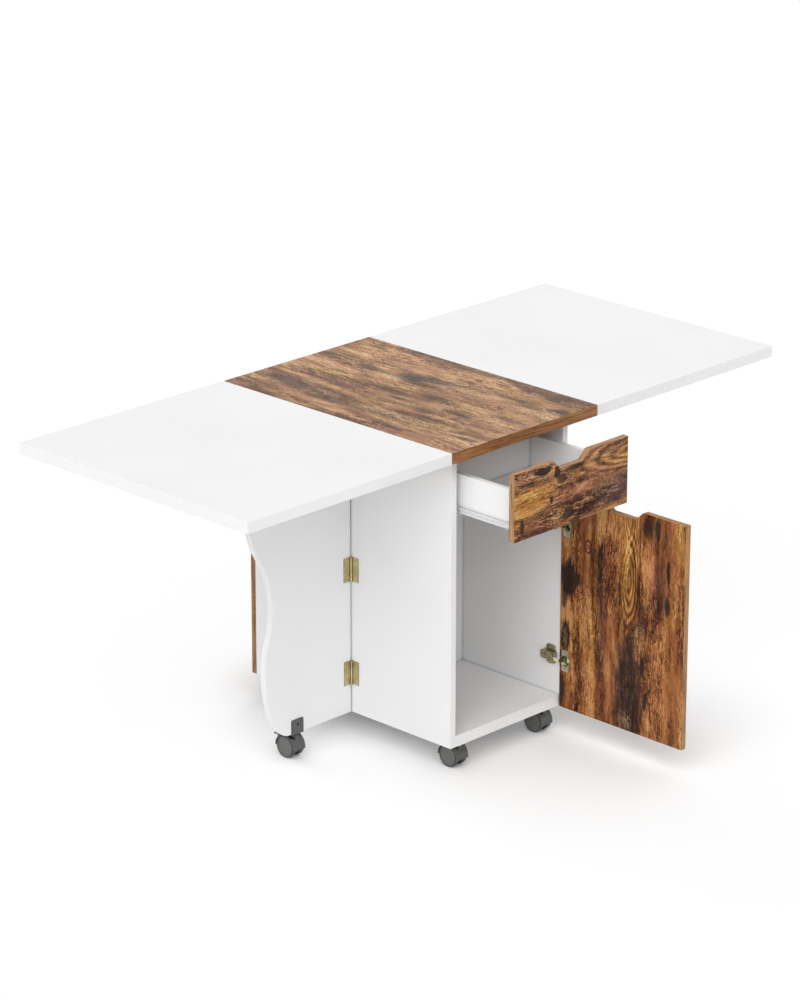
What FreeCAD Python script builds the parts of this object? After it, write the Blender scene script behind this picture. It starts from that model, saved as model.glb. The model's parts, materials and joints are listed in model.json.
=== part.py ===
import FreeCAD, Part
import math
import os

# Kitchen table with storage cabinet: a fixed centre top with two end leaves, a cabinet
# that opens on both long sides, two gate legs and six twin-wheel castors.
# Units are millimetres, +Z is up and +X runs along the table's length. The front of the
# cabinet, with its drawer pulled out and its door open, faces -Y. Everything is built about
# the cabinet's centre line and moved to the export origin when it is saved.

Vec = FreeCAD.Vector
RIGHT = Vec(1, 0, 0)
LEFT = Vec(-1, 0, 0)
BACK = Vec(0, 1, 0)
FRONT = Vec(0, -1, 0)
UP = Vec(0, 0, 1)
DOWN = Vec(0, 0, -1)

# Clearances
running_gap = 0.3        # between faces that slide or turn past each other
pin_gap = 0.05           # radial, round a hinge pin or an axle
hole_gap = 0.2           # radial, round a screw, a bolt or a cam nut in its board
edge_round = 1.0         # rounding of the edge banding on tops and fronts
overshoot = 1.0          # how far a cutter runs past the face it opens

# Table top
table_height = 750.0
top_thickness = 25.0
top_depth = 690.0
centre_width = 446.0
leaf_length = 582.0
leaf_seam = 1.5

# Cabinet boards
cabinet_width = 358.0
cabinet_depth = 600.0
cabinet_clearance = 60.0  # height of the cabinet's underside above the floor
board = 15.0
base_thickness = 25.0

# Fronts: one drawer front above one door on each long side
front_width = 352.0
front_thickness = 15.0
front_gap = 2.8           # between a closed front and the cabinet's edge
drawer_front_height = 150.0
drawer_front_drop = 2.5   # between the top's underside and the drawer front
drawer_door_gap = 4.0
notch_top_width = 112.0
notch_bottom_width = 68.0
notch_depth = 20.0
notch_round = 8.0

# Drawer box and its roller runners
drawer_board = 12.0
drawer_side_height = 85.0
drawer_length = 245.0
drawer_lift = 17.5        # from the drawer front's bottom edge up to the sides' bottom edge
drawer_bottom_thickness = 4.0
drawer_groove_height = 8.0
drawer_groove_depth = 5.0
drawer_pull = 158.0       # how far the front drawer stands open
runner_space = 12.5       # between the drawer's side and the cabinet's side
runner_sheet = 1.2
runner_length = 250.0
runner_setback = 1.0
runner_channel_height = 20.0
runner_top_lip = 7.0
runner_bottom_lip = 9.0
runner_flange_height = 12.2
runner_under_lip = 9.0
runner_screw_inset = 30.0
rail_screw_inset = 50.0   # from the cabinet's front edge to a rail's first screw
roller_radius = 6.0
roller_width = 5.0
roller_inset = 9.0
roller_pin_radius = 1.5

# Door and its concealed hinges
door_axis_depth = 8.5     # from the door's inner face to the hinge axis
door_axis_edge = 7.5      # from the door's hinge edge to the hinge axis
door_hinge_heights = (171.0, 484.0)
cup_radius = 13.0
cup_wall = 0.8
cup_depth = 11.7
cup_edge = 16.7           # from the door's hinge edge to the cup's centre
cup_pin_radius = 1.2
cup_eye_radius = 2.0
cup_pin_length = 15.0
flange_thickness = 1.0
flange_width = 21.0
flange_height = 50.0
flange_round = 5.0
flange_screw_offset = 19.0
cup_screw_length = 10.0
elbow_thickness = 2.4
elbow_width = 7.6
elbow_reach = 16.5        # from the hinge axis back to the elbow's upright
elbow_root = 6.0          # how far the elbow's upright runs inside the arm
arm_length = 36.0
arm_setback = 8.0
arm_lift = 4.0            # the arm's middle above the cup's middle
arm_width = 17.0
arm_depth = 12.0
arm_wall = 1.6
arm_nose = 8.0            # solid front end of the arm, round the elbow
arm_screw_proud = 1.0
arm_screw_setback = 12.0
arm_screw_radius = 3.5
plate_thickness = 2.5
plate_setback = 12.0
plate_width = 25.0
plate_height = 44.0
plate_round = 5.0
plate_screw_offset = 16.0

# Gate leg: a board with a waisted outer edge, seen from its face
leg_thickness = 15.0
leg_face_y = -1.0         # the left leg's front face, swung out under the leaf
leg_side_gap = 2.0
leg_top_gap = 7.0
leg_top_reach = 302.0
leg_shoulder_height = 590.0
leg_waist_reach = 234.8
leg_waist_height = 365.0
leg_belly_reach = 258.3
leg_belly_height = 220.0
leg_foot_reach = 190.0

# Brass butt hinges of the gate legs
butt_heights = (153.0, 393.0)
butt_length = 55.0
butt_wing = 20.0
butt_sheet = 1.6
butt_knuckle_radius = 2.5
butt_pin_radius = 1.25
butt_knuckles = 5
butt_screw_offset = 16.0
butt_screw_reach = 13.0

# Flap hinges under the leaves and the blocks that the gate legs carry
flap_places = (-230.0, 230.0)
flap_length = 60.0
flap_wing = 30.0
flap_sheet = 1.5
flap_knuckle_radius = 2.4
flap_pin_radius = 1.2
flap_screw_offset = 18.0
flap_screw_reach = 19.0
block_length = 44.0
block_width = 34.0
block_inset = 10.0

# Twin-wheel castors
wheel_radius = 25.0
wheel_width = 11.7
wheel_gap = 0.8
wheel_round = 2.0
wheel_recess_radius = 20.5
wheel_recess_depth = 0.7
wheel_wall = 1.5
web_width = 11.0
web_radius = 20.5
axle_radius = 3.0
fender_gap = 1.0
fender_thickness = 2.0
fender_front_angle = 190.0
fender_back_angle = -4.0
brake_slot_angle = 30.0   # upper end of the slot that lets the brake lever out
neck_length = 15.0
boss_radius = 9.0
boss_height = 5.0
castor_trail = 14.0
hood_drop = 3.3           # from the mounting plate down to the hood
collar_radius = 4.5
stem_radius = 3.5
stem_length = 23.5
castor_plate_thickness = 2.5
castor_plate_round = 4.0
castor_hole_spacing = 28.0
castor_hole_edge = 5.0    # from a screw's axis to the mounting plate's edge
castor_side_setback = 26.0     # from the cabinet's side to the mounting plate
castor_front_setback = 2.5     # from the base panel's front edge to the mounting plate
leg_castor_reach = 166.0
bracket_width = 34.0
bracket_height = 32.0
bracket_screw_height = 20.0

# Brake levers on the gate legs' castors
brake_pivot_radius = 30.0
brake_pivot_angle = 18.0
brake_ear_radius = 4.0
brake_ear_width = 5.0
brake_rib_thickness = 5.0
brake_rib_root = 6.0      # how deep the lug's rib starts inside the hood
brake_lever_width = 10.0
brake_bridge = 2.5        # solid root of the pedal, past the hood's lug
brake_neck_width = 4.0
brake_pedal_length = 15.5
brake_pedal_thickness = 3.0
brake_pedal_angle = 30.0
brake_tip_radius = 3.0
brake_pin_radius = 1.5

# Wood screws with countersunk heads
screw_head_radius = 3.0
screw_head_depth = 1.5
screw_shank_radius = 1.5
screw_length = 12.0
screw_slot_width = 0.8
screw_slot_depth = 0.6

# Cam fittings between the boards
cam_nut_radius = 7.4
cam_nut_height = 12.0
cam_face_distance = 7.5   # from the nut board's face to the bolt's axis
cam_bolt_reach = 24.0
cam_shank_radius = 3.0
cam_thread_radius = 2.5
cam_thread_length = 9.0
cam_slot_width = 1.4
cam_slot_length = 9.0
cam_slot_depth = 1.2
cam_top_setback = 70.0
cam_partition_heights = (260.0, 560.0)
cam_partition_places = (-80.0, 80.0)
cam_base_setback = 100.0

# Derived planes
top_underside = table_height - top_thickness
half_centre = centre_width / 2
leaf_inner = half_centre + leaf_seam
leaf_outer = leaf_inner + leaf_length
half_top_depth = top_depth / 2
half_width = cabinet_width / 2
half_depth = cabinet_depth / 2
inner_half_width = half_width - board
base_top = cabinet_clearance + base_thickness
half_partition = board / 2
drawer_front_top = top_underside - drawer_front_drop
drawer_front_bottom = drawer_front_top - drawer_front_height
door_top = drawer_front_bottom - drawer_door_gap
door_bottom = cabinet_clearance
closed_inner = half_depth + front_gap
drawer_half_width = inner_half_width - runner_space
drawer_bottom_edge = drawer_front_bottom + drawer_lift
drawer_back_reach = closed_inner - drawer_length

# Door hinge axis at the right front corner, and the open door's faces
door_axis_x = front_width / 2 - door_axis_edge
door_axis_y = -closed_inner - door_axis_depth
open_door_inner = door_axis_x - door_axis_depth
open_door_back = door_axis_y + door_axis_edge
open_door_front = open_door_back - front_width

# Gate leg hinge pin of the left leg
butt_offset = butt_knuckle_radius + running_gap
leg_pin_x = -half_width - butt_offset
leg_pin_y = leg_face_y - butt_offset
leg_top = top_underside - leg_top_gap
leg_mid_y = leg_face_y + leg_thickness / 2
leg_castor_x = -half_width - leg_castor_reach

# Castor heights
plate_underside = cabinet_clearance - castor_plate_thickness
hood_top = plate_underside - hood_drop
castor_plate = castor_hole_spacing + 2 * castor_hole_edge
castor_x = half_width - castor_side_setback - castor_plate / 2
castor_y = half_depth - castor_front_setback - castor_plate / 2
wheel_inner = web_width / 2 + wheel_gap
wheel_outer = wheel_inner + wheel_width

# The export origin is below the middle of everything, with the drawer and door as they stand
origin_y = (half_top_depth + open_door_front) / 2


def box(x_ends, y_ends, z_ends):
    """Box between pairs of coordinates, given in any order."""
    low = Vec(min(x_ends), min(y_ends), min(z_ends))
    high = Vec(max(x_ends), max(y_ends), max(z_ends))
    return Part.makeBox(high.x - low.x, high.y - low.y, high.z - low.z, low)


def rod(start, direction, radius, length):
    """Round bar from a point along a direction."""
    return Part.makeCylinder(radius, length, start, direction)


def centred_rod(middle, direction, radius, length):
    """Round bar centred on a point."""
    return rod(middle - direction * (length / 2), direction, radius, length)


def fused(shapes):
    """One solid made of several overlapping ones."""
    body = shapes[0].multiFuse(shapes[1:])
    return body.removeSplitter()


def cut(shape, tools):
    """Shape with every tool taken away."""
    for tool in tools:
        shape = shape.cut(tool)
    return shape


def turned(shape):
    """The same piece on the opposite side of the cabinet, half a turn about Z."""
    copy = shape.copy()
    copy.rotate(Vec(0, 0, 0), UP, 180)
    return copy


def both_sides(shapes):
    """Pieces and their half-turn copies."""
    return shapes + [turned(shape) for shape in shapes]


def shifted(shape, x=0.0, y=0.0, z=0.0):
    """Moved copy."""
    copy = shape.copy()
    copy.translate(Vec(x, y, z))
    return copy


def prism(edges, direction):
    """Solid swept straight from a closed outline."""
    wire = Part.Wire(Part.__sortEdges__(edges))
    return Part.Face(wire).extrude(direction)


def upright_edges(shape, direction, test):
    """Straight edges parallel to a direction whose middle passes a test."""
    found = []
    for edge in shape.Edges:
        if len(edge.Vertexes) != 2:
            continue
        run = edge.Vertexes[1].Point - edge.Vertexes[0].Point
        middle = (edge.Vertexes[1].Point + edge.Vertexes[0].Point) * 0.5
        if run.cross(direction).Length < 1e-6 and test(middle):
            found.append(edge)
    return found


def banded(shape, radius=edge_round):
    """Board with softly rounded edges, as edge banding leaves them."""
    return shape.makeFillet(radius, shape.Edges)


def wood_screw(head, inward, length=screw_length):
    """Countersunk screw whose head's face is at a point."""
    cone = Part.makeCone(screw_head_radius, screw_shank_radius, screw_head_depth, head, inward)
    shank = rod(head, inward, screw_shank_radius, length)
    across = UP if abs(inward.z) < 0.5 else RIGHT
    slot = slot_tool(head, inward, across, screw_slot_width, 2 * screw_head_radius, screw_slot_depth)
    return fused([cone, shank]).cut(slot)


def screw_hole(head, inward, length=screw_length):
    """Hole for a wood screw, with clearance all round."""
    wide = screw_head_radius + hole_gap
    narrow = screw_shank_radius + hole_gap
    mouth = rod(head - inward * overshoot, inward, wide, overshoot)
    cone = Part.makeCone(wide, narrow, screw_head_depth + hole_gap, head, inward)
    return fused([mouth, cone, rod(head, inward, narrow, length + hole_gap)])


def slot_tool(middle, inward, along, width, length, depth):
    """Cutter for a screwdriver slot across a round face."""
    side = inward.cross(along)
    corner = middle - along * (length / 2) - side * (width / 2) - inward * overshoot
    points = [corner, corner + along * length, corner + along * length + side * width, corner + side * width]
    outline = Part.makePolygon(points + [corner])
    return Part.Face(outline).extrude(inward * (depth + overshoot))


# Cam fittings ------------------------------------------------------------------------------

def cam_joint(entry, into, face):
    """Cam nut and bolt, with the cuts they need, for two boards that meet at entry.

    into points into the board that holds the nut, and face points out of the nut's pocket.
    """
    centre = entry + into * cam_bolt_reach
    surface = centre + face * cam_face_distance
    inward = face * -1
    nut = rod(surface, inward, cam_nut_radius, cam_nut_height)
    throat_length = cam_nut_radius + 2 * overshoot
    throat = rod(centre + into * overshoot, into * -1, cam_shank_radius + hole_gap, throat_length)
    slot = slot_tool(surface, inward, into, cam_slot_width, cam_slot_length, cam_slot_depth)
    nut = cut(nut, [throat, slot])
    thread = rod(entry - into * cam_thread_length, into, cam_thread_radius, cam_thread_length)
    shank = rod(entry, into, cam_shank_radius, cam_bolt_reach)
    bolt = fused([thread, shank])
    pocket_depth = cam_nut_height + overshoot + hole_gap
    pocket = rod(surface + face * overshoot, inward, cam_nut_radius + hole_gap, pocket_depth)
    bore = rod(entry, into, cam_shank_radius + hole_gap, cam_bolt_reach)
    pilot_start = entry - into * (cam_thread_length + hole_gap)
    pilot = rod(pilot_start, into, cam_thread_radius + hole_gap, cam_thread_length + hole_gap)
    return {"nut": nut, "bolt": bolt, "nut_cut": fused([pocket, bore]), "bolt_cut": pilot}


def side_top_cams():
    """Left side panel to top."""
    x = -half_width + cam_face_distance
    places = (-half_depth + cam_top_setback, half_depth - cam_top_setback)
    return [cam_joint(Vec(x, y, top_underside), DOWN, RIGHT) for y in places]


def side_partition_cams():
    """Left side panel to partition, with the nuts in the partition."""
    return [cam_joint(Vec(-inner_half_width, 0, z), RIGHT, BACK) for z in cam_partition_heights]


def side_base_cams():
    """Left side panel to base, with the nuts on the base's underside."""
    z = cabinet_clearance + cam_face_distance
    places = (-half_depth + cam_base_setback, half_depth - cam_base_setback)
    return [cam_joint(Vec(-inner_half_width, y, z), RIGHT, DOWN) for y in places]


def partition_top_cams():
    """Partition to top."""
    return [cam_joint(Vec(x, 0, top_underside), DOWN, BACK) for x in cam_partition_places]


def all_of(cams, key):
    return [cam[key] for cam in cams]


def cam_nuts():
    sides = all_of(side_top_cams() + side_base_cams(), "nut")
    left = all_of(side_partition_cams(), "nut")
    right = [mirrored(nut) for nut in left]
    return both_sides(sides) + left + right + all_of(partition_top_cams(), "nut")


def cam_bolts():
    sides = all_of(side_top_cams() + side_base_cams(), "bolt")
    left = all_of(side_partition_cams(), "bolt")
    right = [mirrored(bolt) for bolt in left]
    return both_sides(sides) + left + right + all_of(partition_top_cams(), "bolt")


def mirrored(shape):
    """Mirror image across the plane x = 0."""
    return shape.mirror(Vec(0, 0, 0), RIGHT)


# Tops --------------------------------------------------------------------------------------

def table_top():
    top = box((-half_centre, half_centre), (-half_top_depth, half_top_depth), (top_underside, table_height))
    top = banded(top)
    cams = all_of(partition_top_cams(), "bolt_cut") + both_sides(all_of(side_top_cams(), "bolt_cut"))
    return cut(top, cams + both_sides(flap_screw_places(screw_hole, inner=True)))


def left_leaf():
    leaf = box((-leaf_outer, -leaf_inner), (-half_top_depth, half_top_depth), (top_underside, table_height))
    return cut(banded(leaf), flap_screw_places(screw_hole, inner=False))


def flap_axis_x():
    return -(half_centre + leaf_inner) / 2


def flap_axis_z():
    return top_underside - flap_knuckle_radius - hole_gap


def flap_screw_places(maker, inner):
    """Screws, or their holes, of one wing of each flap hinge at the left seam."""
    side = 1 if inner else -1
    x = flap_axis_x() + side * flap_screw_reach
    z = top_underside - flap_sheet
    made = []
    for y in flap_places:
        for step in (-flap_screw_offset, flap_screw_offset):
            made.append(maker(Vec(x, y + step, z), UP))
    return made


def flap_wing_at(y, inner):
    """One wing of a flap hinge, with its share of the knuckles."""
    side = 1 if inner else -1
    axis = Vec(flap_axis_x(), y, flap_axis_z())
    near = axis.x + side * (flap_knuckle_radius + running_gap)
    far = axis.x + side * flap_wing
    ends = (y - flap_length / 2, y + flap_length / 2)
    sheet = box((near, far), ends, (top_underside - flap_sheet, top_underside))
    root = (flap_pin_radius + flap_knuckle_radius) / 2
    spans = knuckle_spans(ends[0], ends[1], inner)
    pieces = [sheet]
    for low, high in spans:
        pieces.append(rod(Vec(axis.x, low, axis.z), BACK, flap_knuckle_radius, high - low))
        pieces.append(box((axis.x, near), (low, high), (axis.z + root, top_underside - hole_gap)))
    start = Vec(axis.x, ends[0] - overshoot, axis.z)
    bore = rod(start, BACK, flap_pin_radius + pin_gap, flap_length + 2 * overshoot)
    return fused(pieces).cut(bore)


def knuckle_spans(low, high, outer_set):
    """Start and end of each knuckle on one wing, along the pin."""
    pitch = (high - low) / butt_knuckles
    first = 0 if outer_set else 1
    spans = []
    for index in range(first, butt_knuckles, 2):
        start = low + index * pitch + (running_gap / 2 if index else 0)
        end = low + (index + 1) * pitch - (running_gap / 2 if index < butt_knuckles - 1 else 0)
        spans.append((start, end))
    return spans


def flap_wings(inner):
    wings = []
    for y in flap_places:
        holes = flap_screw_places(screw_hole, inner)
        wings.append(cut(flap_wing_at(y, inner), holes))
    return both_sides(wings)


def flap_pins():
    pins = []
    for y in flap_places:
        pins.append(centred_rod(Vec(flap_axis_x(), y, flap_axis_z()), BACK, flap_pin_radius, flap_length))
    return both_sides(pins)


def leaf_support_blocks():
    """Blocks under the leaves that rest on the swung-out gate legs."""
    outer = -half_width - leg_top_reach + block_inset
    block = box((outer, outer + block_length), (leg_mid_y - block_width / 2, leg_mid_y + block_width / 2),
                (leg_top + running_gap, top_underside))
    corners = upright_edges(block, UP, lambda middle: True)
    return both_sides([block.makeFillet(castor_plate_round, corners)])


# Cabinet -----------------------------------------------------------------------------------

def left_side_panel():
    panel = box((-half_width, -inner_half_width), (-half_depth, half_depth),
                (cabinet_clearance, top_underside))
    holes = all_of(side_top_cams(), "nut_cut")
    holes += all_of(side_partition_cams() + side_base_cams(), "bolt_cut")
    holes += butt_fixed_screws(screw_hole)
    holes += [turned(hole) for hole in arm_plate_screws(screw_hole)]
    holes += rail_screws(screw_hole, -1) + [turned(hole) for hole in rail_screws(screw_hole, 1)]
    return cut(panel, holes)


def base_panel():
    panel = box((-inner_half_width, inner_half_width), (-half_depth, half_depth),
                (cabinet_clearance, base_top))
    holes = both_sides(all_of(side_base_cams(), "nut_cut"))
    for x, y in castor_places():
        holes += castor_plate_screws(x, y, screw_hole)
    return cut(panel, holes)


def centre_partition():
    panel = box((-inner_half_width, inner_half_width), (-half_partition, half_partition),
                (base_top, top_underside))
    left = all_of(side_partition_cams(), "nut_cut")
    return cut(panel, left + [mirrored(hole) for hole in left] + all_of(partition_top_cams(), "nut_cut"))


# Gate legs ---------------------------------------------------------------------------------

def s_curve(start, end):
    """Two equal tangent arcs that leave both points along Z, in the XZ plane."""
    middle = (start + end) * 0.5
    reach = abs(end.x - start.x)
    rise = abs(end.z - start.z)
    radius = (reach * reach + rise * rise) / (4 * reach)
    turn = math.asin(rise / (2 * radius))
    side = 1 if end.x > start.x else -1
    lift = 1 if end.z > start.z else -1
    bend = radius * (1 - math.cos(turn / 2))
    climb = radius * math.sin(turn / 2)
    first = Vec(start.x + side * bend, start.y, start.z + lift * climb)
    second = Vec(end.x - side * bend, end.y, end.z - lift * climb)
    return [Part.Arc(start, first, middle).toShape(), Part.Arc(middle, second, end).toShape()]


def leg_outline():
    """Face outline of the left leg: straight top, foot and hinge edge, and a waisted outer edge."""
    inner = -half_width - leg_side_gap
    foot_height = cabinet_clearance

    def point(reach, height):
        return Vec(-half_width - reach, leg_face_y, height)

    hinge_top = Vec(inner, leg_face_y, leg_top)
    hinge_foot = Vec(inner, leg_face_y, foot_height)
    outer_top = point(leg_top_reach, leg_top)
    shoulder = point(leg_top_reach, leg_shoulder_height)
    waist = point(leg_waist_reach, leg_waist_height)
    belly = point(leg_belly_reach, leg_belly_height)
    foot = point(leg_foot_reach, foot_height)
    rise = leg_belly_height - foot_height
    spread = leg_belly_reach - leg_foot_reach
    centre = point(leg_foot_reach, leg_belly_height)
    ellipse = Part.Ellipse(centre + DOWN * rise, centre + LEFT * spread, centre)
    corner = Part.ArcOfEllipse(ellipse, 0, math.pi / 2).toShape()
    edges = [Part.makeLine(hinge_foot, hinge_top), Part.makeLine(hinge_top, outer_top)]
    edges += [Part.makeLine(outer_top, shoulder)] + s_curve(shoulder, waist) + s_curve(waist, belly)
    return edges + [corner, Part.makeLine(foot, hinge_foot)]


def left_gate_leg():
    leg = prism(leg_outline(), BACK * leg_thickness)
    return cut(leg, butt_leg_screws(screw_hole) + bracket_face_screws(screw_hole))


def butt_wing_at(z, fixed):
    """One wing of a gate leg's butt hinge: fixed on the cabinet's side, or on the leg's face."""
    axis = Vec(leg_pin_x, leg_pin_y, z)
    ends = (z - butt_length / 2, z + butt_length / 2)
    clear = butt_knuckle_radius + running_gap
    if fixed:
        sheet = box((-half_width - butt_sheet, -half_width), (axis.y - clear, axis.y - butt_wing), ends)
    else:
        sheet = box((axis.x - clear, axis.x - butt_wing), (leg_face_y - butt_sheet, leg_face_y), ends)
    pieces = [sheet]
    for low, high in knuckle_spans(ends[0], ends[1], fixed):
        pieces.append(rod(Vec(axis.x, axis.y, low), UP, butt_knuckle_radius, high - low))
        if fixed:
            root = box((axis.x + butt_pin_radius, -half_width - running_gap), (axis.y, axis.y - clear),
                       (low, high))
        else:
            root = box((axis.x, axis.x - clear), (axis.y + butt_pin_radius, leg_face_y - running_gap),
                       (low, high))
        pieces.append(root)
    start = Vec(axis.x, axis.y, ends[0] - overshoot)
    bore = rod(start, UP, butt_pin_radius + pin_gap, butt_length + 2 * overshoot)
    return fused(pieces).cut(bore)


def butt_fixed_screws(maker):
    made = []
    for z in butt_heights:
        for step in (-butt_screw_offset, butt_screw_offset):
            head = Vec(-half_width - butt_sheet, leg_pin_y - butt_screw_reach, z + step)
            made.append(maker(head, RIGHT))
    return made


def butt_leg_screws(maker):
    made = []
    for z in butt_heights:
        for step in (-butt_screw_offset, butt_screw_offset):
            head = Vec(leg_pin_x - butt_screw_reach, leg_face_y - butt_sheet, z + step)
            made.append(maker(head, BACK))
    return made


def butt_fixed_wings():
    wings = [cut(butt_wing_at(z, True), butt_fixed_screws(screw_hole)) for z in butt_heights]
    return both_sides(wings)


def butt_leg_wings():
    return [cut(butt_wing_at(z, False), butt_leg_screws(screw_hole)) for z in butt_heights]


def butt_pins():
    pins = [centred_rod(Vec(leg_pin_x, leg_pin_y, z), UP, butt_pin_radius, butt_length) for z in butt_heights]
    return both_sides(pins)


def bracket_face_screws(maker):
    head = Vec(leg_castor_x, leg_face_y - castor_plate_thickness, cabinet_clearance + bracket_screw_height)
    return [maker(head, BACK)]


def leg_bracket():
    """Angle bracket on the left leg's foot, with the castor's stem riveted in it."""
    sides = (leg_castor_x - bracket_width / 2, leg_castor_x + bracket_width / 2)
    face = (leg_face_y - castor_plate_thickness, leg_face_y)
    upright = box(sides, face, (plate_underside, cabinet_clearance + bracket_height))
    shelf = box(sides, (face[0], leg_face_y + leg_thickness), (plate_underside, cabinet_clearance))
    corners = upright_edges(upright, BACK, lambda middle: middle.z > cabinet_clearance)
    upright = upright.makeFillet(castor_plate_thickness, corners)
    plate = fused([upright, shelf, castor_stem(leg_castor_x, leg_mid_y)])
    return cut(plate, bracket_face_screws(screw_hole))


# Castors -----------------------------------------------------------------------------------

def castor_places():
    """Swivel axes of the four castors under the cabinet."""
    return [(-castor_x, -castor_y), (castor_x, -castor_y), (-castor_x, castor_y), (castor_x, castor_y)]


def castor_stem(x, y):
    """Stem with the collar that the hood turns under, rooted in its plate."""
    root = castor_plate_thickness / 2
    start = Vec(x, y, plate_underside + root)
    collar = rod(start, DOWN, collar_radius, root + hood_drop - running_gap)
    return fused([rod(start, DOWN, stem_radius, root + stem_length), collar])


def castor_plate_screws(x, y, maker):
    made = []
    half = castor_hole_spacing / 2
    for sign_x in (-1, 1):
        for sign_y in (-1, 1):
            made.append(maker(Vec(x + sign_x * half, y + sign_y * half, plate_underside), UP))
    return made


def castor_mounting_plate(x, y):
    half = castor_plate / 2
    plate = box((x - half, x + half), (y - half, y + half), (plate_underside, cabinet_clearance))
    plate = plate.makeFillet(castor_plate_round, upright_edges(plate, UP, lambda middle: True))
    return cut(fused([plate, castor_stem(x, y)]), castor_plate_screws(x, y, screw_hole))


def polar(radius, degrees):
    """Point of the castor's side view, measured from the wheel's centre."""
    angle = math.radians(degrees)
    return Vec(0, castor_trail + radius * math.cos(angle), wheel_radius + radius * math.sin(angle))


def sector(outer, inner, start, end, width):
    """Part of a ring, or of a disc where inner is 0, across the castor's width."""
    low = polar(outer, start)
    high = polar(outer, end)
    edges = [Part.Arc(low, polar(outer, (start + end) / 2), high).toShape()]
    if inner > 0:
        edges.append(Part.makeLine(high, polar(inner, end)))
        halfway = polar(inner, (start + end) / 2)
        edges.append(Part.Arc(polar(inner, end), halfway, polar(inner, start)).toShape())
        edges.append(Part.makeLine(polar(inner, start), low))
    else:
        edges.append(Part.makeLine(high, polar(0, 0)))
        edges.append(Part.makeLine(polar(0, 0), low))
    return shifted(prism(edges, RIGHT * width), x=-width / 2)


def wheel_centre():
    return Vec(0, castor_trail, wheel_radius)


def brake_ear():
    """Lug on the hood that carries the brake lever's pin."""
    pivot = polar(brake_pivot_radius, brake_pivot_angle)
    lug = centred_rod(pivot, RIGHT, brake_ear_radius, brake_ear_width)
    half = brake_rib_thickness / 2
    sides = (-brake_ear_width / 2, brake_ear_width / 2)
    rib = box(sides, (web_radius - brake_rib_root, brake_pivot_radius), (-half, half))
    rib.rotate(Vec(0, 0, 0), RIGHT, brake_pivot_angle)
    rib.translate(wheel_centre())
    return [lug, rib]


def brake_slot(outer, inner):
    """Cut in the fender's back end for the brake lever."""
    width = brake_lever_width + 2 * running_gap
    return sector(outer, inner, fender_back_angle - overshoot, brake_slot_angle, width)


def castor_hood(braked):
    """Hood between and over the two wheels, with the bore for the stem."""
    spine_start = brake_slot_angle if braked else fender_back_angle
    inner = wheel_radius + fender_gap
    outer = inner + fender_thickness
    width = 2 * wheel_outer
    web = centred_rod(wheel_centre(), RIGHT, web_radius, web_width)
    spine = sector(outer - fender_thickness / 2, 0, spine_start, fender_front_angle, web_width)
    fender = sector(outer, inner, fender_back_angle, fender_front_angle, width)
    if braked:
        fender = fender.cut(brake_slot(outer + overshoot, inner - overshoot))
    neck = box((-web_width / 2, web_width / 2), (-neck_length / 2, neck_length / 2),
               (wheel_radius, hood_top - boss_height))
    boss = rod(Vec(0, 0, hood_top), DOWN, boss_radius, boss_height)
    pieces = [web, spine, fender, neck, boss]
    if braked:
        pieces += brake_ear()
    bores = [rod(Vec(0, 0, hood_top + overshoot), DOWN, stem_radius + pin_gap, stem_length + 2 * overshoot)]
    bores.append(centred_rod(wheel_centre(), RIGHT, axle_radius + pin_gap, width))
    if braked:
        pivot = polar(brake_pivot_radius, brake_pivot_angle)
        bores.append(centred_rod(pivot, RIGHT, brake_pin_radius + pin_gap, brake_lever_width))
    return cut(fused(pieces), bores)


def castor_wheel():
    """Right-hand wheel of a castor, closed on its outer face."""
    start = wheel_centre() + RIGHT * wheel_inner
    disc = rod(start, RIGHT, wheel_radius, wheel_width)
    rims = [edge for edge in disc.Edges if edge.Curve.TypeId == "Part::GeomCircle"]
    disc = disc.makeFillet(wheel_round, rims)
    dish_start = wheel_centre() + RIGHT * (wheel_outer - wheel_recess_depth)
    dish = rod(dish_start, RIGHT, wheel_recess_radius, wheel_width)
    depth = wheel_width - wheel_wall - wheel_recess_depth
    bore = rod(start + LEFT * overshoot, RIGHT, axle_radius + pin_gap, depth + overshoot)
    return cut(disc, [dish, bore])


def castor_wheels():
    wheel = castor_wheel()
    return [wheel, mirrored(wheel)]


def castor_axle():
    length = 2 * (wheel_outer - wheel_wall - wheel_recess_depth - running_gap)
    return centred_rod(wheel_centre(), RIGHT, axle_radius, length)


def brake_lever():
    """Pedal with two cheeks about the hood's lug, and its pin."""
    pivot = polar(brake_pivot_radius, brake_pivot_angle)
    half = brake_lever_width / 2
    slot = brake_ear_width / 2 + running_gap
    barrel = centred_rod(pivot, RIGHT, brake_ear_radius, brake_lever_width)
    room = brake_ear_radius + running_gap
    thin = brake_pedal_thickness / 2
    bridge = box((-half, half), (0, room + brake_bridge), (-thin, thin))
    neck = box((-brake_neck_width / 2, brake_neck_width / 2), (0, brake_pedal_length), (-thin, thin))
    tip = centred_rod(Vec(0, brake_pedal_length, 0), RIGHT, brake_tip_radius, brake_lever_width)
    arm = fused([bridge, neck, tip])
    arm.rotate(Vec(0, 0, 0), RIGHT, brake_pedal_angle)
    arm.translate(pivot)
    gap = centred_rod(pivot, RIGHT, room, 2 * slot)
    bore = centred_rod(pivot, RIGHT, brake_pin_radius, brake_lever_width)
    lever = cut(fused([barrel, arm]), [gap, bore])
    pin = centred_rod(pivot, RIGHT, brake_pin_radius, brake_lever_width)
    return [lever, pin]


# Fronts ------------------------------------------------------------------------------------

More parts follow.
